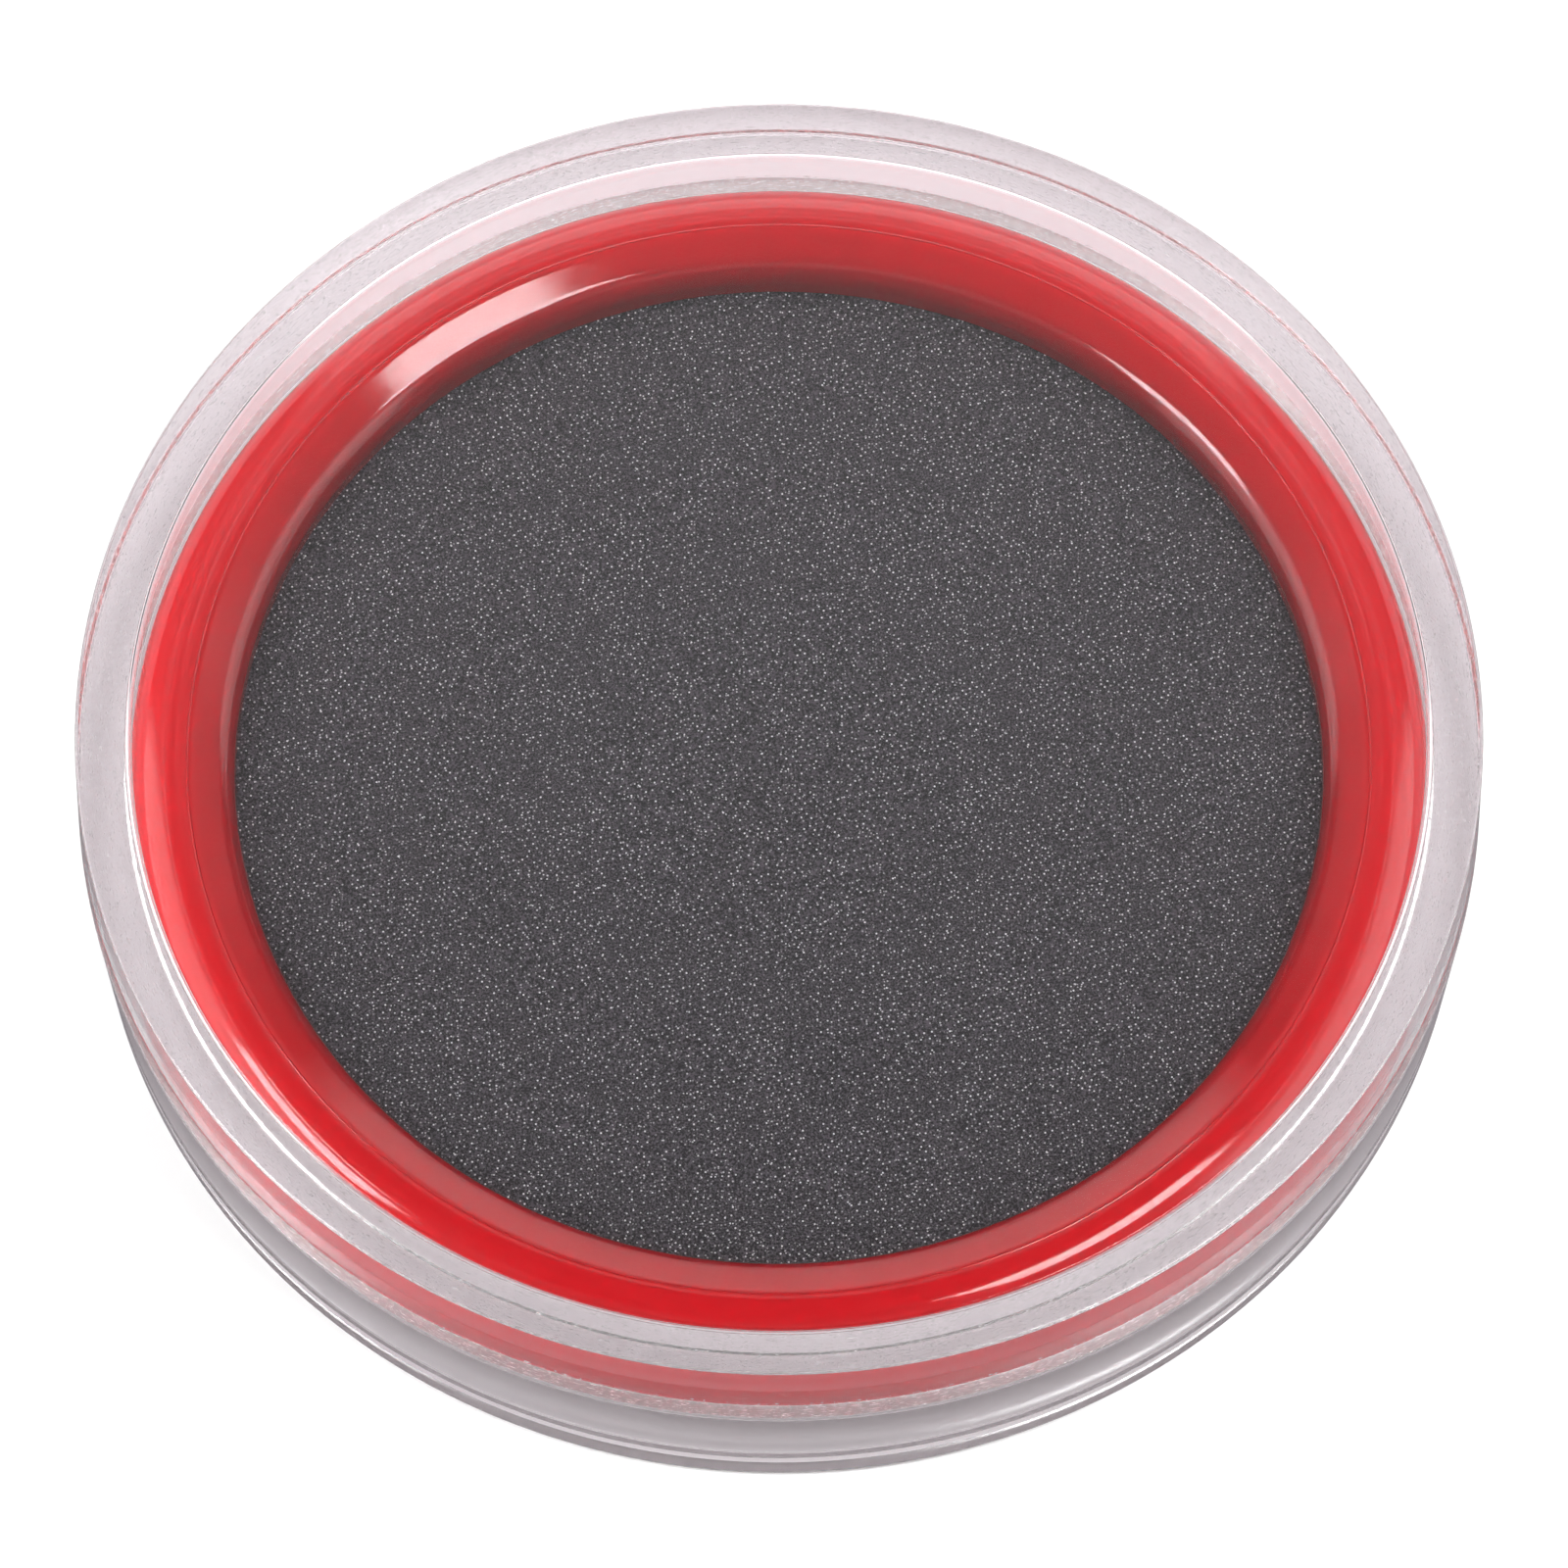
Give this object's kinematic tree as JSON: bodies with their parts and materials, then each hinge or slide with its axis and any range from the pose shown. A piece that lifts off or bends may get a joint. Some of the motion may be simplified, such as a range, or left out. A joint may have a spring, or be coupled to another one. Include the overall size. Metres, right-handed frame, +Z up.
{
  "type": "round stamp pad",
  "caption": "Round inked stamp pad in a clear flat case: a dark woven pad held by a red ring in a clear dish, under a clear lift-off lid.",
  "frame": {"origin": "centre of the base's underside, where the case stands", "axes": "+Z up along the axis of the case, the way the lid lifts"},
  "size_m": [0.08, 0.08, 0.0164],
  "materials": {
    "clear_polystyrene": "clear moulded, polished",
    "red_polystyrene": "glossy moulded",
    "inked_cloth": "fine woven cloth, inked",
    "ink_foam": "open-cell foam",
    "ink_felt": "pressed felt"
  },
  "bodies": {
    "case": {"base": "clear_polystyrene", "retaining_ring": "red_polystyrene", "pad_cloth": "inked_cloth", "ink_foam": "ink_foam", "ink_felt": "ink_felt"},
    "lid": {"lid": "clear_polystyrene"}
  },
  "joints": [
    {"name": "lid_lift", "type": "slide", "parent": "case", "child": "lid", "axis": [0, 0, 1], "range_m": [0, 0.03]}
  ]
}
